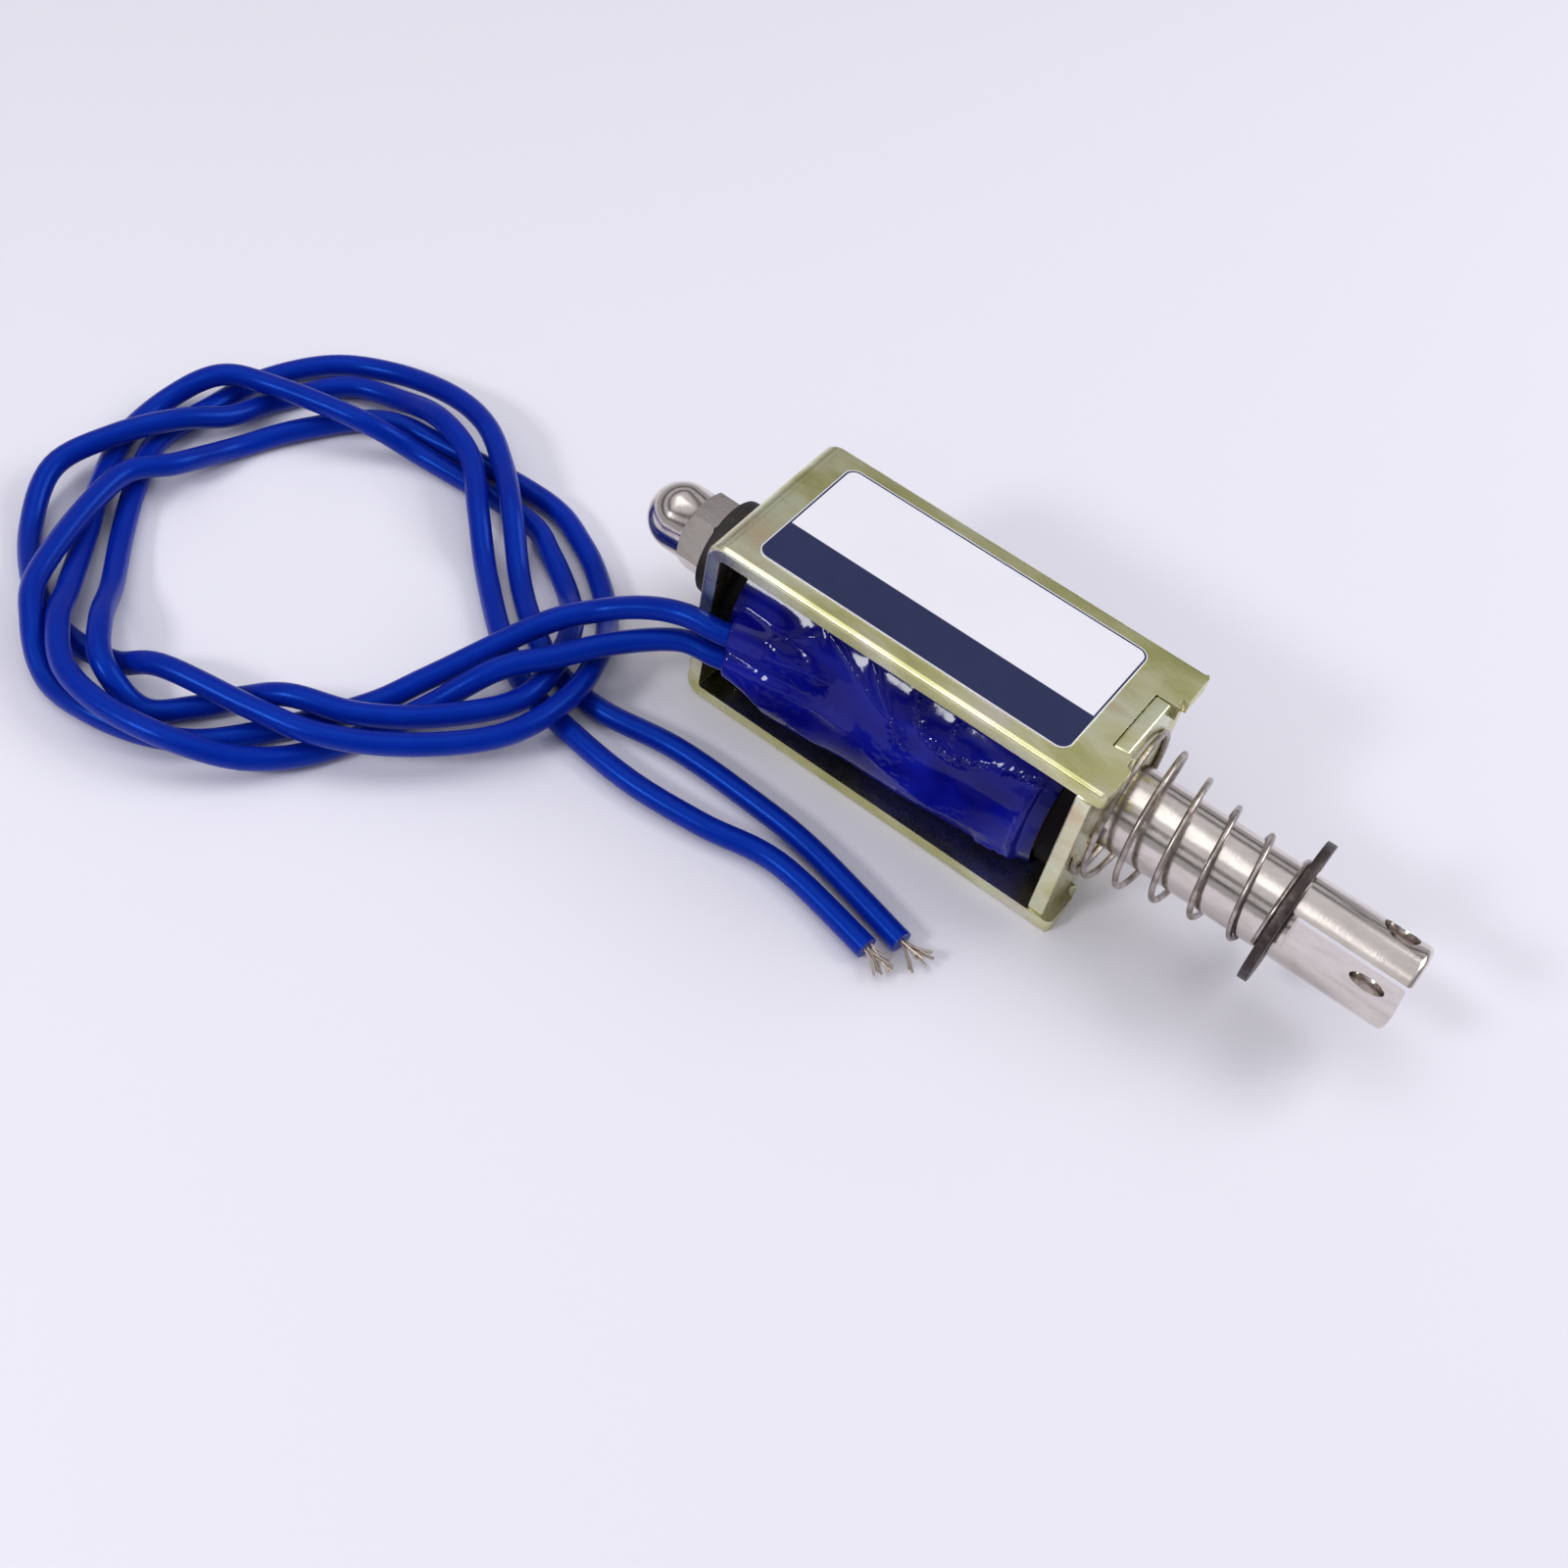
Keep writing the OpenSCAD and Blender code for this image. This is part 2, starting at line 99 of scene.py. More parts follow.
LEAD_B = [
    (-10.5, -6.8, 6.5), (-13, -7.8, 6.5), (-16, -8.5, 6.5), (-19.5, -11, 5.5), (-22, -14.5, 5),
    (-24.5, -18, 4.5), (-27, -22, 2), (-28.5, -25, 1), (-30.5, -30, 1), (-33, -34, 2),
    (-37, -36.5, 3), (-42, -37.5, 3), (-46.5, -37, 3), (-50, -34.5, 3), (-52.5, -31.5, 2.1),
    (-56.5, -26.5, 1), (-59.5, -22.5, 1), (-62, -18, 1), (-62.5, -13, 1.5), (-60.5, -9.5, 3),
    (-57, -7.5, 3), (-49.5, -5.5, 3), (-45, -3.5, 1), (-35, -3, 1), (-31, -4.5, 1), (-27, -7, 1),
    (-24, -10.5, 3), (-22.5, -14.5, 3), (-22.5, -18.5, 3), (-25.5, -23, 3), (-29.5, -26.5, 3),
    (-34, -28.5, 3), (-37, -30, 1.5), (-39, -32.5, 1), (-41.5, -35, 1), (-45, -35, 3),
    (-48, -32.5, 3), (-51, -29, 1.5), (-54.5, -25, 1), (-57.5, -21, 1), (-60, -16.5, 1),
    (-60, -11, 1), (-59.5, -6, 1), (-57, -1, 1), (-52.5, 1.5, 1.5), (-47, 2, 2.5), (-42.5, 1, 3),
    (-38.5, -1.5, 3), (-35, -4.5, 3), (-31, -8, 1), (-27, -11, 1), (-23, -13, 1),
    (-18.5, -13.5, 1), (-12.5, -12.5, 1), (-6, -12.5, 1), (0, -13, 1), (9, -15, 1)]


def to_mesh(form, name):
    """Turns a form into a mesh and frees it."""
    mesh = bpy.data.meshes.new(name)
    form.to_mesh(mesh)
    form.free()
    return mesh


def soft_shading(form, crease=35):
    """Smooth faces, with edges that bend more than crease degrees kept sharp."""
    for face in form.faces:
        face.smooth = True
    limit = math.radians(crease)
    for edge in form.edges:
        edge.smooth = len(edge.link_faces) != 2 or edge.calc_face_angle(0) < limit


def smooth_line(points, steps=8):
    """Points close together on one smooth line through the given points."""
    line = []
    for i in range(len(points) - 1):
        here, there = points[i], points[i + 1]
        leave = (there - points[max(i - 1, 0)]) / 2
        arrive = (points[min(i + 2, len(points) - 1)] - here) / 2
        for k in range(steps):
            t = k / steps
            line.append(here * (2 * t ** 3 - 3 * t ** 2 + 1) + leave * (t ** 3 - 2 * t ** 2 + t)
                        + there * (3 * t ** 2 - 2 * t ** 3) + arrive * (t ** 3 - t ** 2))
    return line + [points[-1]]


def line_length(line):
    return sum((b - a).length for a, b in zip(line, line[1:]))


def add_wire(form, line, radius, sides, level=Vector((0, 0, 1))):
    """Adds a closed round wire along a line to a form. Its sides are counted from level."""
    last = len(line) - 1
    added = bmesh.ops.create_grid(form, x_segments=last, y_segments=sides, size=1)["verts"]
    for vert in added:
        i = round((vert.co.x + 1) / 2 * last)
        turn = math.pi * vert.co.y
        along = (line[min(i + 1, last)] - line[max(i - 1, 0)]).normalized()
        side = along.cross(level).normalized()
        vert.co = line[i] + radius * (side * math.cos(turn) + side.cross(along) * math.sin(turn))
    bmesh.ops.remove_doubles(form, verts=added, dist=0.0005 * MM)
    ends = [e for e in form.edges if e.is_boundary]
    bmesh.ops.holes_fill(form, edges=ends, sides=0)


def wire_mesh(name, line, radius, sides, level=Vector((0, 0, 1))):
    """One closed round wire as a mesh."""
    form = bmesh.new()
    add_wire(form, line, radius, sides, level)
    bmesh.ops.recalc_face_normals(form, faces=form.faces)
    soft_shading(form, SMOOTH_BEND)
    return to_mesh(form, name)


def add_piece(name, mesh, body, slot, *nodes):
    """A piece that rides on a body and stands for the named CAD nodes."""
    piece = bpy.data.objects.new(name, mesh)
    bpy.context.scene.collection.objects.link(piece)
    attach(piece, body)
    if nodes:
        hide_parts(*nodes)
    return piece


leads = {}
for name, route in (("lead_a", LEAD_A), ("lead_b", LEAD_B)):
    line = smooth_line([Vector(p) * MM for p in route])
    piece = add_piece(name + "_insulation", wire_mesh(name, line, LEAD_D / 2, LEAD_SIDES),
                      "frame", "lead", name)
    leads[name] = (piece, line)


# ---- finishes ----

class Value:
    """A number that changes over a surface. Arithmetic on it adds Math nodes."""

    def __init__(self, finish, socket):
        self.finish = finish
        self.socket = socket

    def math(self, operation, *others):
        return self.finish.math(operation, self, *others)

    def __add__(self, other):
        return self.math("ADD", other)

    def __sub__(self, other):
        return self.math("SUBTRACT", other)

    def __mul__(self, other):
        return self.math("MULTIPLY", other)

    def __rsub__(self, other):
        return self.finish.math("SUBTRACT", other, self)

    def __abs__(self):
        return self.math("ABSOLUTE")

    __radd__ = __add__
    __rmul__ = __mul__

    def ramp(self, low, high):
        """0 below low and 1 above high, with a smooth step between them."""
        return self.finish.value("ShaderNodeMapRange", {"interpolation_type": "SMOOTHSTEP"},
                                 {"Value": self, "From Min": low, "From Max": high})


class Finish:
    """A material whose nodes are added one by one. Lengths are in millimetres."""

    def __init__(self, name, color=(0.8, 0.8, 0.8), roughness=0.5, metallic=0.0, **plain):
        self.material = bpy.data.materials.new(name)
        self.material.use_nodes = True
        self.tree = self.material.node_tree
        self.shader = self.tree.nodes["Principled BSDF"]
        self.set("Base Color", color)
        self.set("Roughness", roughness)
        self.set("Metallic", metallic)
        for words, amount in plain.items():
            self.set(words.replace("_", " ").title().replace("Ior", "IOR"), amount)

    def cover(self, mesh):
        mesh.materials.clear()
        mesh.materials.append(self.material)

    def put(self, socket, value):
        if isinstance(value, Value):
            self.tree.links.new(value.socket, socket)
        elif isinstance(value, bpy.types.NodeSocket):
            self.tree.links.new(value, socket)
        elif isinstance(value, (tuple, list)) and len(value) == 3 and socket.type == "RGBA":
            socket.default_value = (*value, 1)
        else:
            socket.default_value = value

    def set(self, name, value):
        """Sets or links one input of the surface shader."""
        self.put(self.shader.inputs[name], value)

    def node(self, kind, settings=None, inputs=None):
        """Any other node: its settings first, then the values or links of its inputs."""
        node = self.tree.nodes.new(kind)
        for name, value in (settings or {}).items():
            if name == "stops":
                for place, color in value:
                    stop = node.color_ramp.elements.new(place)
                    stop.color = (*color, 1)
                node.color_ramp.elements.remove(node.color_ramp.elements[0])
                node.color_ramp.elements.remove(node.color_ramp.elements[-1])
            else:
                setattr(node, name, value)
        for name, value in (inputs or {}).items():
            self.put(node.inputs[name], value)
        return node

    def value(self, kind, settings=None, inputs=None, output=0):
        return Value(self, self.node(kind, settings, inputs).outputs[output])

    def math(self, operation, *operands):
        return self.value("ShaderNodeMath", {"operation": operation}, dict(enumerate(operands)))

    def place(self, stretch=(1, 1, 1), turn=(0, 0, 0)):
        """Object coordinates in millimetres, scaled by stretch."""
        where = self.node("ShaderNodeTexCoord").outputs["Object"]
        scale = [s / MM for s in stretch]
        return self.node("ShaderNodeMapping", None,
                         {"Vector": where, "Scale": scale, "Rotation": turn}).outputs["Vector"]

    def axes(self):
        """The three coordinates in millimetres."""
        split = self.node("ShaderNodeSeparateXYZ", None, {"Vector": self.place()})
        return [Value(self, out) for out in split.outputs]

    def noise(self, size, detail=3, rough=0.5, stretch=(1, 1, 1), turn=(0, 0, 0), warp=0):
        """Noise whose lumps are about size millimetres across."""
        return self.value("ShaderNodeTexNoise", None,
                          {"Vector": self.place(stretch, turn), "Scale": 1 / size, "Detail": detail,
                           "Roughness": rough, "Distortion": warp})

    def mix(self, factor, low, high):
        """A colour between low and high."""
        node = self.node("ShaderNodeMix", {"data_type": "RGBA"}, {0: factor, 6: low, 7: high})
        return node.outputs[2]

    def blend(self, factor, stops):
        """A colour from a ramp with the given stops."""
        return self.node("ShaderNodeValToRGB", {"stops": stops}, {"Fac": factor}).outputs["Color"]

    def relief(self, height, depth, strength=1.0):
        """Bumps of a depth in millimetres where height goes from 0 to 1."""
        bump = self.node("ShaderNodeBump", None,
                         {"Height": height, "Distance": depth * MM, "Strength": strength})
        self.set("Normal", bump.outputs["Normal"])


def chromate():
    """Bright zinc under a thin yellow chromate with green, gold and pink clouds."""
    f = Finish("yellow_chromate", metallic=1.0)
    clouds = f.noise(6, 3, 0.5, stretch=(0.7, 1.2, 1), warp=0.5)
    tint = f.blend(clouds, [(0.3, (0.50, 0.50, 0.20)), (0.44, (0.62, 0.60, 0.28)),
                            (0.52, (0.74, 0.72, 0.44)), (0.6, (0.78, 0.79, 0.56)),
                            (0.72, (0.70, 0.58, 0.38))])
    blush = f.noise(7, 2, 0.5, stretch=(1, 1, 1.6), turn=(0.4, 0.2, 0.9))
    tint = f.mix(blush.ramp(0.55, 0.72) * 0.55, tint, (0.80, 0.70, 0.68))
    grain = f.noise(0.3, 4, 0.7, stretch=(0.4, 1.3, 1))
    f.set("Base Color", f.mix(grain.ramp(0.45, 0.75) * 0.12, tint, (0.88, 0.88, 0.72)))
    scuffs = f.noise(1.4, 5, 0.65, stretch=(0.5, 1, 1))
    f.set("Roughness", 0.17 + 0.16 * scuffs + 0.06 * grain)
    f.relief(grain * 0.5 + scuffs * 0.5, 0.004)
    return f


def nickel(name, dull=0.09):
    """Bright nickel plate over turned steel, with fine lines left by the tool."""
    f = Finish(name, metallic=1.0)
    haze = f.noise(1.3, 5, 0.65, stretch=(0.5, 1, 1))
    pits = f.noise(0.22, 3, 0.7)
    rings = f.noise(0.16, 2, 0.5, stretch=(1, 0.04, 0.04))
    f.set("Base Color", f.mix(haze.ramp(0.4, 0.72) * 0.45, (0.72, 0.66, 0.615), (0.46, 0.40, 0.36)))
    f.set("Roughness", dull + 0.09 * haze + 0.05 * pits)
    f.relief(rings * 0.4 + pits * 0.8, 0.006)
    return f


def film():
    """Thin deep blue film, glossy. Painted shade darkens it towards its top, under the frame's top leg. It is
    darker towards both ends, partly from the black flanges under it and partly from painted shade in the
    corners at the end plates.
    """
    f = Finish("blue_film", specular_ior_level=0.2)
    x, y, z = f.axes()
    folds = f.noise(5, 2, 0.5, stretch=(0.6, 1, 1), warp=0.8)
    depth = f.blend(folds, [(0.3, (0.002, 0.002, 0.10)), (0.5, (0.003, 0.004, 0.19)),
                            (0.7, (0.006, 0.010, 0.30))])
    milky = f.noise(2.2, 2, 0.5, stretch=(0.6, 1, 1), turn=(0, 0.5, 0)).ramp(0.5, 0.72)
    depth = f.mix(milky * 0.35, depth, (0.018, 0.018, 0.20))
    # Painted shade: the film darkens towards its top, where it runs in under the frame's top leg, most
    # strongly towards the lead end.
    high = (z - AXIS_Z).ramp(1.5, 5.5) * (1 - (x + 2).ramp(-2, 3) * 0.4)
    depth = f.mix(high * 0.6, depth, (0.002, 0.002, 0.085))
    # Darker towards both ends: partly the black flanges under the film, partly painted shade in the corners
    # against the end plates.
    ends = abs(x + 0.4).ramp(11.4, 13.2)
    f.set("Base Color", f.mix(ends * 0.7, depth, (0.001, 0.001, 0.03)))
    f.set("Roughness", 0.04 + 0.07 * f.noise(1.1, 2, 0.5))
    f.relief(f.noise(1.6, 2, 0.5) + 0.1 * f.noise(0.5, 2, 0.5), 0.02, 0.4)
    return f


def vinyl():
    """Blue wire insulation, smooth with a soft shine."""
    f = Finish("blue_vinyl", specular_ior_level=0.7, specular_tint=(0.04, 0.22, 1.0))
    mottle = f.noise(2.5, 3, 0.5)
    f.set("Base Color", f.mix(mottle, (0.0008, 0.010, 0.24), (0.0015, 0.020, 0.33)))
    f.set("Roughness", 0.26 + 0.1 * f.noise(0.8, 3, 0.6))
    f.relief(f.noise(0.5, 3, 0.6), 0.012)
    return f


def label_film(half_len, half_w, centre):
    """Satin white film with a dark outline and a navy band along its open side."""
    f = Finish("label_print", specular_ior_level=0.15)
    x, y, z = f.axes()
    line, inset, corner = 0.09, 0.14, 0.9
    band_edge, band_soft = -1.8, 0.04
    dx = (abs(x - centre[0]) - (half_len - corner)).math("MAXIMUM", 0)
    dy = (abs(y - centre[1]) - (half_w - corner)).math("MAXIMUM", 0)
    out = (dx * dx + dy * dy).math("SQRT") - (corner - inset)
    edge = 1 - abs(out).ramp(line * 0.6, line)
    inside = 1 - out.ramp(-0.02, 0.02)
    band = (1 - y.ramp(band_edge - band_soft, band_edge + band_soft)) * inside
    haze = f.noise(6, 3, 0.5)
    paper = f.mix(haze, (0.76, 0.75, 0.82), (0.83, 0.82, 0.88))
    print_color = f.mix(f.noise(2.5, 3, 0.6), (0.020, 0.024, 0.075), (0.028, 0.034, 0.095))
    f.set("Base Color", f.mix((edge + band).math("MINIMUM", 1), paper, print_color))
    f.set("Roughness", 0.3 + 0.12 * haze)
    f.relief(f.noise(1.5, 3, 0.6), 0.01)
    return f


def dark_plastic():
    """Matt black moulding."""
    f = Finish("black_nylon", color=(0.004, 0.003, 0.004), specular_ior_level=0.04)
    f.set("Roughness", 0.4 + 0.2 * f.noise(1.2, 3, 0.6))
    f.relief(f.noise(0.4, 3, 0.6), 0.01)
    return f


def rubber():
    """Dark rubber with a little dust on it."""
    f = Finish("bumper_rubber")
    dust = f.noise(0.6, 4, 0.65)
    f.set("Base Color", f.mix(dust.ramp(0.5, 0.8), (0.012, 0.008, 0.008), (0.045, 0.036, 0.034)))
    f.set("Roughness", 0.55 + 0.2 * dust)
    f.relief(dust, 0.02)
    return f


def oxide():
    """Spring steel blackened by heat, brown where it has rubbed."""
    f = Finish("dark_oxide", metallic=0.85)
    worn = f.noise(0.9, 4, 0.65)
    f.set("Base Color", f.mix(worn.ramp(0.45, 0.75), (0.055, 0.042, 0.040), (0.14, 0.115, 0.105)))
    f.set("Roughness", 0.36 + 0.2 * worn)
    f.relief(f.noise(0.2, 3, 0.6), 0.01)
    return f


def spring_wire():
    """Bright drawn wire with brown stains."""
    f = Finish("spring_wire", metallic=1.0)
    stain = f.noise(0.8, 4, 0.6)
    f.set("Base Color", f.mix(stain.ramp(0.35, 0.7), (0.50, 0.45, 0.42), (0.25, 0.20, 0.18)))
    f.set("Roughness", 0.24 + 0.18 * stain)
    f.relief(f.noise(0.12, 2, 0.5), 0.006)
    return f


def plain_metal(name, color, worn, dull):
    """A metal between a clean and a worn colour, with fine lines across it."""
    f = Finish(name, metallic=1.0)
    haze = f.noise(1.2, 4, 0.6)
    f.set("Base Color", f.mix(haze, color, worn))
    f.set("Roughness", dull + 0.15 * haze)
    f.relief(f.noise(0.15, 2, 0.5, stretch=(1, 0.1, 0.1)), 0.006)
    return f


def copper_turns():
    """Enamelled wire laid in turns along the bobbin, with painted shade in the grooves between turns and a
    painted highlight along their crests.
    """
    f = Finish("enamelled_copper", metallic=0.8, coat_weight=0.5, coat_roughness=0.1)
    x = f.axes()[0]
    pitch = 0.3
    turns = (x * (math.tau / pitch)).math("SINE") * 0.5 + 0.5
    # Painted shade and highlight: the colour is darkest in the grooves between turns and lightest on their
    # crests.
    f.set("Base Color", f.mix(turns, (0.20, 0.06, 0.02), (0.55, 0.20, 0.07)))
    f.set("Roughness", 0.25 + 0.15 * f.noise(1, 3, 0.5))
    f.relief(turns, 0.06)
    return f


# ---- shaping ----

def ease_edges(form, chosen, edge, segments, clamp=True, crease=30):
    """Rounds the sharp edges that chosen picks."""
    limit = math.radians(crease)
    sharp = [e for e in form.edges
             if len(e.link_faces) == 2 and e.calc_face_angle(0) > limit and chosen(e)]
    bmesh.ops.bevel(form, geom=sharp, offset=edge * MM, offset_type="OFFSET", segments=segments,
                    profile=0.5, affect="EDGES", clamp_overlap=clamp, material=-1)


def eased(node, edge, segments=2, side_edge=0):
    """A copy of a CAD node with its points merged, its flats joined and its sharp edges rounded.
    side_edge is a larger radius for the outer edges along both sides of a bent strip."""
    form = bmesh.new()
    form.from_mesh(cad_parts[node].data)
    bmesh.ops.remove_doubles(form, verts=form.verts, dist=0.001 * MM)
    bmesh.ops.dissolve_limit(form, angle_limit=math.radians(0.6), verts=form.verts, edges=form.edges)
    if side_edge:
        low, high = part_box(node)
        wall, rim = 1.1 * MM, 0.05 * MM

        def outer(vert):
            outside = (vert.co.z < low.z + wall or vert.co.z > high.z - wall
                       or vert.co.x < low.x + wall)
            return outside and abs(vert.co.y) > high.y - rim

        ease_edges(form, lambda e: all(outer(v) for v in e.verts), side_edge, 5, clamp=False)
    ease_edges(form, lambda e: True, edge, segments)
    soft_shading(form)
    return to_mesh(form, node)


def weight_normals(piece):
    """Keeps the flats flat beside their rounded edges."""
    tidy = piece.modifiers.new("flat_faces_stay_flat", "WEIGHTED_NORMAL")
    tidy.keep_sharp = True
    tidy.weight = 60
    return piece


def dress(node, body, slot, finish, edge, segments=2, side_edge=0):
    """Shows a CAD node with its edges rounded and in its finish."""
    piece = add_piece(node + "_eased", eased(node, edge, segments, side_edge), body, slot, node)
    finish.cover(piece.data)
    return weight_normals(piece)


zinc = chromate()
bright = nickel("bright_nickel")
steel = plain_metal("turned_steel", (0.56, 0.55, 0.54), (0.42, 0.40, 0.39), 0.22)

dress("yoke_frame", "frame", "zinc", zinc, 0.08, 2, side_edge=0.38)
dress("front_plate", "frame", "zinc", zinc, 0.16, 3)
dress("plunger", "plunger", "nickel", bright, 0.06)
dress("cap_nut", "plunger", "nickel", bright, 0.05)
dress("bumper", "plunger", "rubber", rubber(), 0.3, 3)
dress("e_clip", "clip", "oxide", oxide(), 0.06)

for node, finish in (("bobbin", dark_plastic()), ("push_rod", bright), ("fixed_pole", steel),
                     ("coil_winding", copper_turns()),
                     ("guide_tube", plain_metal("drawn_brass", (0.62, 0.42, 0.16), (0.45, 0.28, 0.10), 0.25))):
    finish.cover(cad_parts[node].data)

low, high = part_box("label")
half, middle = (high - low) / MM / 2, (high + low) / MM / 2
label_film(half.x, half.y, middle).cover(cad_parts["label"].data)


# ---- return spring ----

AXIS_Z = (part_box("plunger")[0].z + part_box("plunger")[1].z) / 2 / MM
PLATE_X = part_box("front_plate")[1].x / MM
CLIP_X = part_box("e_clip")[0].x / MM
WIRE_D = 0.45
BIG_R = 5.65
SMALL_R = 3.475
WORKING_TURNS = 5
DEAD_BIG = 0.6
DEAD_SMALL = 0.4
FIRST_TURN = math.radians(42)
SPRING_STEPS = 290


def spring_point(t):
    """Middle of the wire after t turns, in metres. The coils close towards the plate."""
    lift = min(max((t - DEAD_BIG) / WORKING_TURNS, 0), 1) ** 1.2
    along = PLATE_X + WIRE_D / 2 + (CLIP_X - PLATE_X - WIRE_D) * lift
    radius = SMALL_R + (BIG_R - SMALL_R) * (1 - lift) ** 1.8
    turn = FIRST_TURN + math.tau * (t - DEAD_BIG)
    return Vector((along, radius * math.cos(turn), AXIS_Z + radius * math.sin(turn))) * MM


turns = DEAD_BIG + WORKING_TURNS + DEAD_SMALL
line = [spring_point(turns * i / SPRING_STEPS) for i in range(SPRING_STEPS + 1)]
wire = wire_mesh("return_spring_wire", line, WIRE_D / 2 * MM, 14, Vector((1, 0, 0)))
spring = add_piece("return_spring_wire", wire, "frame", "wire", "return_spring")
spring_wire().cover(spring.data)
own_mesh(spring)


# ---- film round the coil ----

film_low, film_high = (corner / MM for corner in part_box("coil_wrap"))
FILM_X0, FILM_X1 = film_low.x, film_high.x
FILM_R = (film_high.z - film_low.z) / 2
FILM_SIDE = (film_high.y - film_low.y) / 2 - FILM_R
FILM_STEPS_ALONG, FILM_STEPS_ROUND = 240, 330
ARC_R = 6.6

# ARC_R turns an angle on the film into a distance.
# Creases as two places, each with X in millimetres and the angle above the axis in degrees,
# then the width and height of the crease in millimetres and how crumpled it is.
CREASES = [((-6.9, 46), (0.1, 19), 0.16, 0.26, 0.2), ((-3, 46), (0.3, 20), 0.16, 0.24, 0.2),
           ((0.2, 20), (2.2, 6), 0.3, 0.3, 0.8), ((0.8, 48), (2.0, 30), 0.2, 0.34, 0.8),
           ((2.0, 30), (3.0, 21), 0.2, 0.3, 0.8), ((3.0, 21), (5.3, 19), 0.2, 0.32, 0.9),
           ((5.3, 19), (7.4, 27), 0.2, 0.36, 1), ((7.2, 27), (12, 38), 0.2, 0.36, 1),
           ((4.4, 44), (4.8, 28), 0.2, 0.22, 0.6), ((-10, 20), (-6.6, 40), 0.5, 0.3, 0.1),
           ((-10, 12), (-4.4, 17), 0.6, 0.32, 0.1), ((-10, -4), (-2, -8), 0.7, 0.34, 0.1),
           ((-10.4, -16), (-4, -34), 0.7, 0.3, 0.1), ((-1, -12), (6, -24), 1.0, 0.3, 0.1),
           ((2.4, -26), (9.8, -20), 0.8, 0.25, 0.1), ((8.4, -34), (11.2, -28), 0.25, 0.3, 0.5),
           ((11.0, 34), (11.3, -40), 0.3, 0.34, 0.2)]


def bump_between(low, high, soft, value):
    """1 between low and high, falling smoothly to 0 over soft on both sides."""
    rise = max(0, min(1, (value - low) / soft + 1))
    fall = max(0, min(1, (high - value) / soft + 1))
    return (rise * fall) ** 2 * (3 - 2 * rise * fall)


def crease_height(x, angle, spot):
    """Height that the creases add at a place on the film, in millimetres."""
    here = Vector((x, angle * ARC_R))
    total = 0
    for start, end, width, height, crumple in CREASES:
        a = Vector((start[0], math.radians(start[1]) * ARC_R))
        b = Vector((end[0], math.radians(end[1]) * ARC_R))
        t = max(0, min(1, (here - a).dot(b - a) / (b - a).length_squared))
        gap = (here - a - (b - a) * t).length
        if gap < 5 * width:
            rough = 1 + crumple * 1.4 * noise.noise(spot * 3.2)
            total += height * rough * math.exp(-gap / width) * (1 - abs(2 * t - 1) ** 4 * 0.8)
    return total


def hood_height(x, z):
    """Height of the film over the ends of the two leads."""
    over = max(math.exp(-((z - lead_z) / 1.3) ** 4) for lead_z in (LEAD_A[0][2], LEAD_B[0][2]))
    if x < -9.8:
        along = 1.72 - 0.33 * max(0, x + 12.5)
    else:
        along = 0.83 * math.exp(-((x + 9.8) / 2.6) ** 2)
    return over * along * bump_between(-12.2, 20, 1.1, x)


def film_place(x, angle):
    """A point on the film. Angle 0 faces the open side that the leads leave."""
    spot = Vector((x, math.cos(angle) * 7, math.sin(angle) * 7))
    open_side = abs(math.cos(angle)) ** 1.5
    near = angle if math.cos(angle) > 0 else math.copysign(math.pi - abs(angle), angle)
    out = crease_height(x if math.cos(angle) > 0 else -x, near, spot) * open_side
    sag = ((1 - 0.035 * (x + 8)) * bump_between(-9, 11, 4, x)
           * math.exp(-(math.degrees(near) / 24 + 1.6) ** 2))
    out += 1.7 * sag + open_side * (0.16 * noise.noise(spot * 0.2) - 0.06)
    out -= 0.45 * bump_between(11.7, 20, 0.4, x) * open_side
    if math.cos(angle) > 0:
        out += hood_height(x, AXIS_Z + FILM_R * math.sin(angle))
    radius = FILM_R + out
    across = (FILM_SIDE * min(1, abs(math.cos(angle)) * 3)) * math.copysign(1, math.cos(angle))
    up = (FILM_R + min(out, 3)) * math.sin(angle)
    return Vector((x, -across - radius * math.cos(angle), AXIS_Z + up)) * MM


def film_mesh():
    form = bmesh.new()
    bmesh.ops.create_grid(form, x_segments=FILM_STEPS_ALONG, y_segments=FILM_STEPS_ROUND, size=1)
    for vert in form.verts:
        x = FILM_X0 + (FILM_X1 - FILM_X0) * (vert.co.x + 1) / 2
        vert.co = film_place(x, math.pi * vert.co.y)
    bmesh.ops.remove_doubles(form, verts=form.verts, dist=0.001 * MM)
    bmesh.ops.recalc_face_normals(form, faces=form.faces)
    soft_shading(form, SMOOTH_BEND)
    return to_mesh(form, "film")


film().cover(add_piece("film_wrap", film_mesh(), "frame", "film", "coil_wrap").data)


# ---- leads and strands ----

insulation = vinyl()
tinned = plain_metal("tinned_copper", (0.62, 0.56, 0.50), (0.36, 0.27, 0.21), 0.28)


STRANDS = 11
STRAND_R = 0.09 * MM
STRAND_REST = 0.13 * MM
RIM = 0.42


def strand_points(tip, along, rng):
    """One bare strand that leaves the lead straight and bends away."""
    side = Vector((-along.y, along.x, 0))
    off = rng.uniform(0, RIM)
    around = rng.uniform(0, math.tau)
    up = Vector((0, 0, 1))
    start = tip - along * 0.6 * MM + (side * math.cos(around) + up * math.sin(around)) * off * MM
    length = rng.uniform(1.7, 3.0)
    bend = rng.uniform(-0.6, 0.6)
    rise = rng.uniform(-0.12, 0.16)
    points = []
    for k in range(7):
        t = k / 6
        go = along * t * length + side * bend * t * t * length * 0.7 + up * rise * t * length
        points.append(start + go * MM)
        points[-1].z = max(points[-1].z, STRAND_REST)
    return points


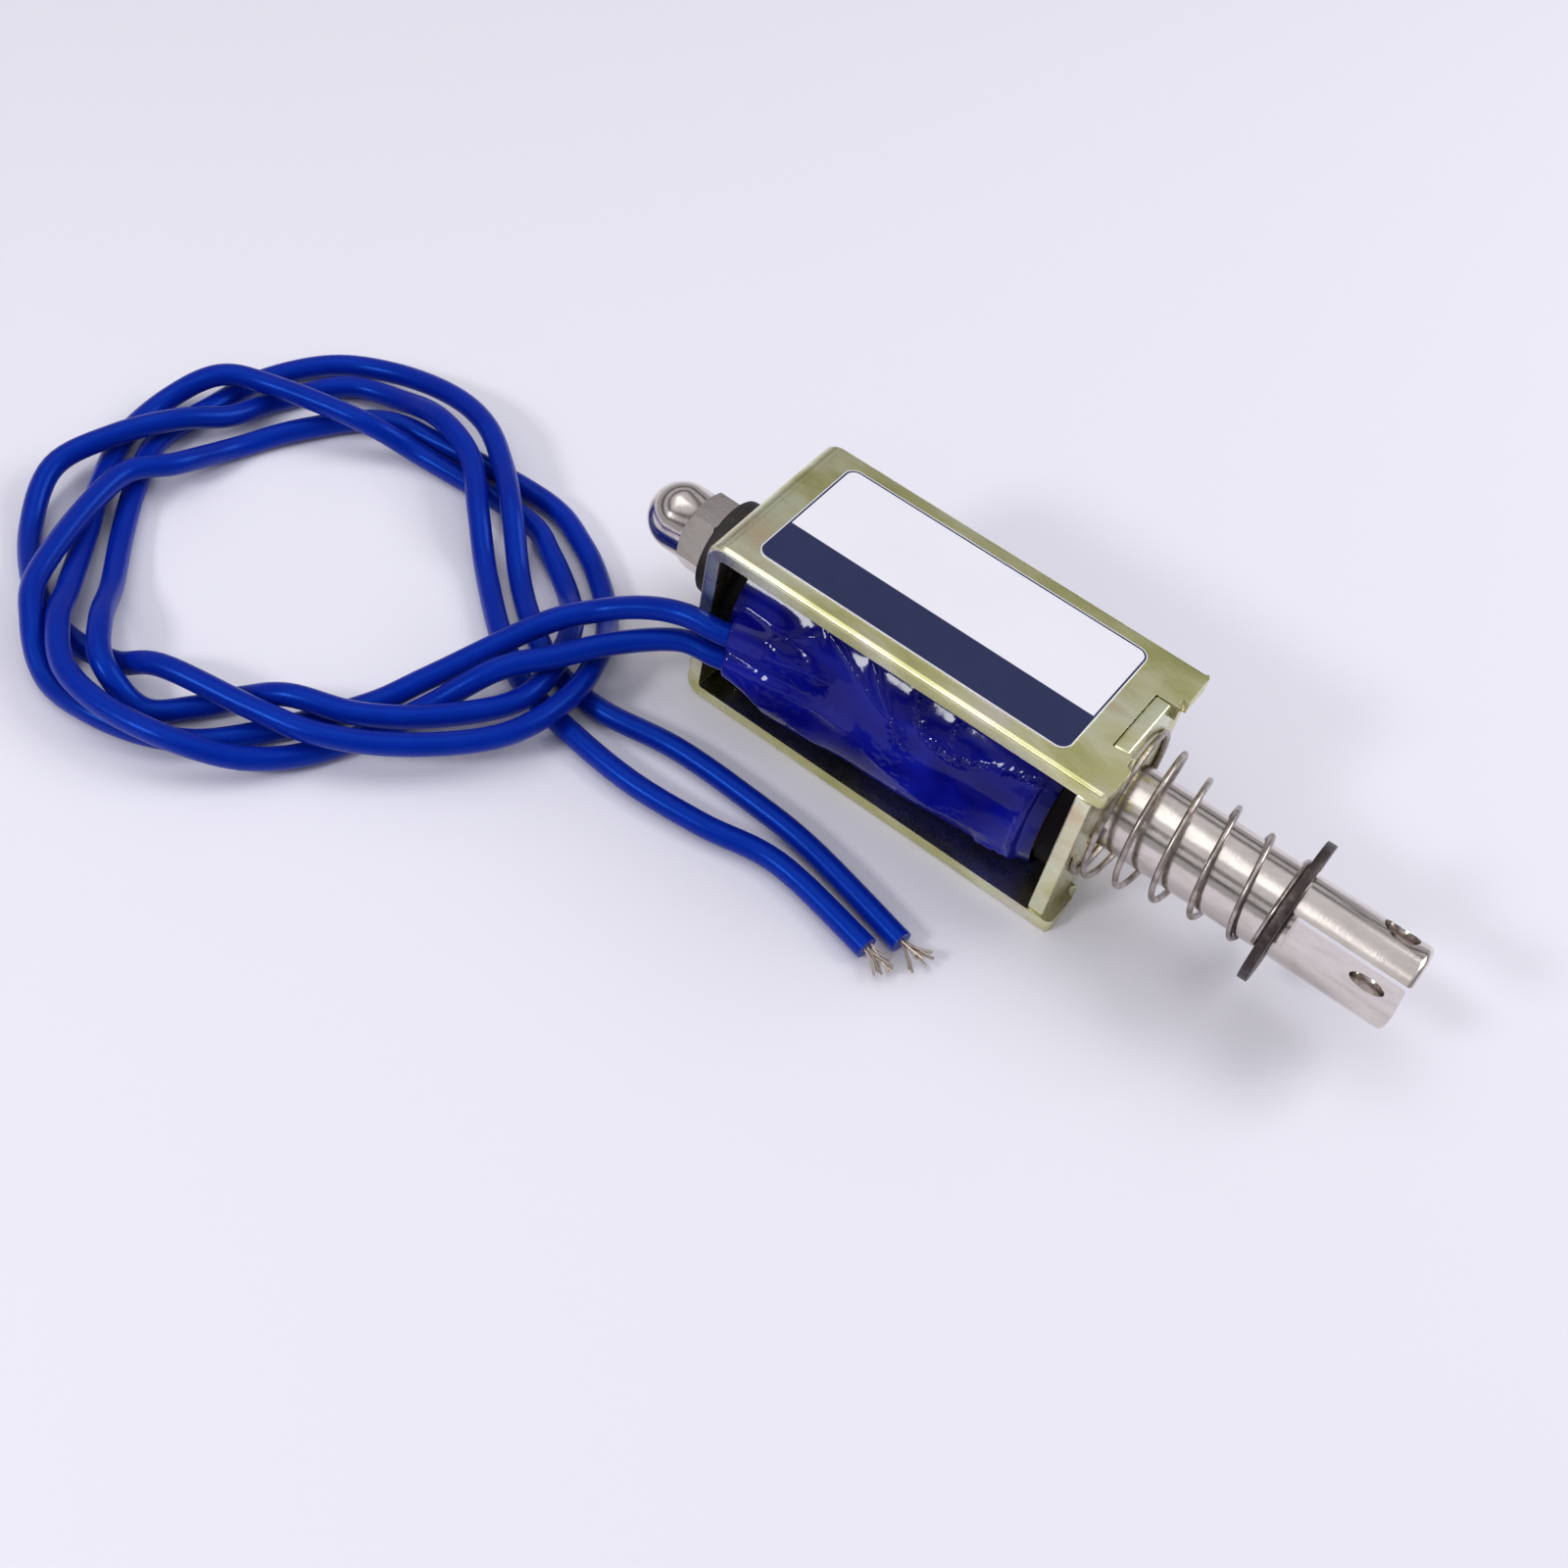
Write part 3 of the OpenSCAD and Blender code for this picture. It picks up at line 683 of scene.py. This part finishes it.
rng = random.Random(7)
for name, (piece, line) in leads.items():
    insulation.cover(piece.data)
    form = bmesh.new()
    for k in range(STRANDS):
        strand = strand_points(line[-1], (line[-1] - line[-9]).normalized(), rng)
        add_wire(form, smooth_line(strand, 3), STRAND_R, 8)
    bmesh.ops.recalc_face_normals(form, faces=form.faces)
    soft_shading(form, SMOOTH_BEND)
    bare = add_piece(name + "_bare_end", to_mesh(form, name + "_bare_end"),
                     "frame", "tinned", name + "_strands")
    tinned.cover(bare.data)
    line_length(line)


# ---- table and light ----

# Height in the sky, from the horizon up, and how bright it is there. Bright metal mirrors
# the two dark bands as streaks.
SKY = [(0.0, 0.42), (0.24, 0.45), (0.29, 0.04), (0.37, 0.05), (0.42, 0.55), (0.56, 0.62),
       (0.61, 0.12), (0.69, 0.14), (0.74, 0.72)]

# Name, place and size in millimetres, power in watts and colour.
LAMPS = [("soft_box_above", (-100, -40, 380), 300, 240, 0.22, (1.0, 0.99, 0.98)),
         ("soft_box_back", (180, 220, 260), 200, 200, 0.62, (0.98, 0.99, 1.0)),
         ("front_lamp", (-110, -270, 200), 70, 50, 0.36, (1.0, 1.0, 1.0))]
TABLE_SIZE = 40


def area_light(name, at, width, depth, power, color):
    """A rectangular lamp that points at the origin."""
    data = bpy.data.lights.new(name, "AREA")
    data.shape = "RECTANGLE"
    data.size = width * MM
    data.size_y = depth * MM
    data.energy = power
    data.color = color
    lamp = bpy.data.objects.new(name, data)
    bpy.context.scene.collection.objects.link(lamp)
    at = Vector(at) * MM
    turn = (-at).to_track_quat("-Z", "Y").to_matrix().to_4x4()
    lamp.matrix_world = Matrix.Translation(at) @ turn


def light_sky():
    """A pale sky crossed by two dark bands."""
    world = bpy.data.worlds.new("studio")
    bpy.context.scene.world = world
    world.use_nodes = True
    tree = world.node_tree
    where = tree.nodes.new("ShaderNodeTexCoord")
    split = tree.nodes.new("ShaderNodeSeparateXYZ")
    ramp = tree.nodes.new("ShaderNodeValToRGB")
    tree.links.new(where.outputs["Generated"], split.inputs["Vector"])
    tree.links.new(split.outputs["Z"], ramp.inputs["Fac"])
    tree.links.new(ramp.outputs["Color"], tree.nodes["Background"].inputs["Color"])
    for place, level in SKY:
        stop = ramp.color_ramp.elements.new(place)
        stop.color = (0.95 * level, 0.95 * level, level, 1)
    ramp.color_ramp.elements.remove(ramp.color_ramp.elements[0])
    ramp.color_ramp.elements.remove(ramp.color_ramp.elements[-1])


def set_stage():
    form = bmesh.new()
    bmesh.ops.create_grid(form, x_segments=1, y_segments=1, size=TABLE_SIZE)
    table = bpy.data.objects.new("table", to_mesh(form, "table"))
    bpy.context.scene.collection.objects.link(table)
    top = Finish("table_top", color=(0.81, 0.795, 0.87), roughness=0.6, specular_ior_level=0.2)
    top.cover(table.data)
    for lamp in LAMPS:
        area_light(*lamp)
    light_sky()
    bpy.context.scene.view_settings.view_transform = "Standard"


set_stage()
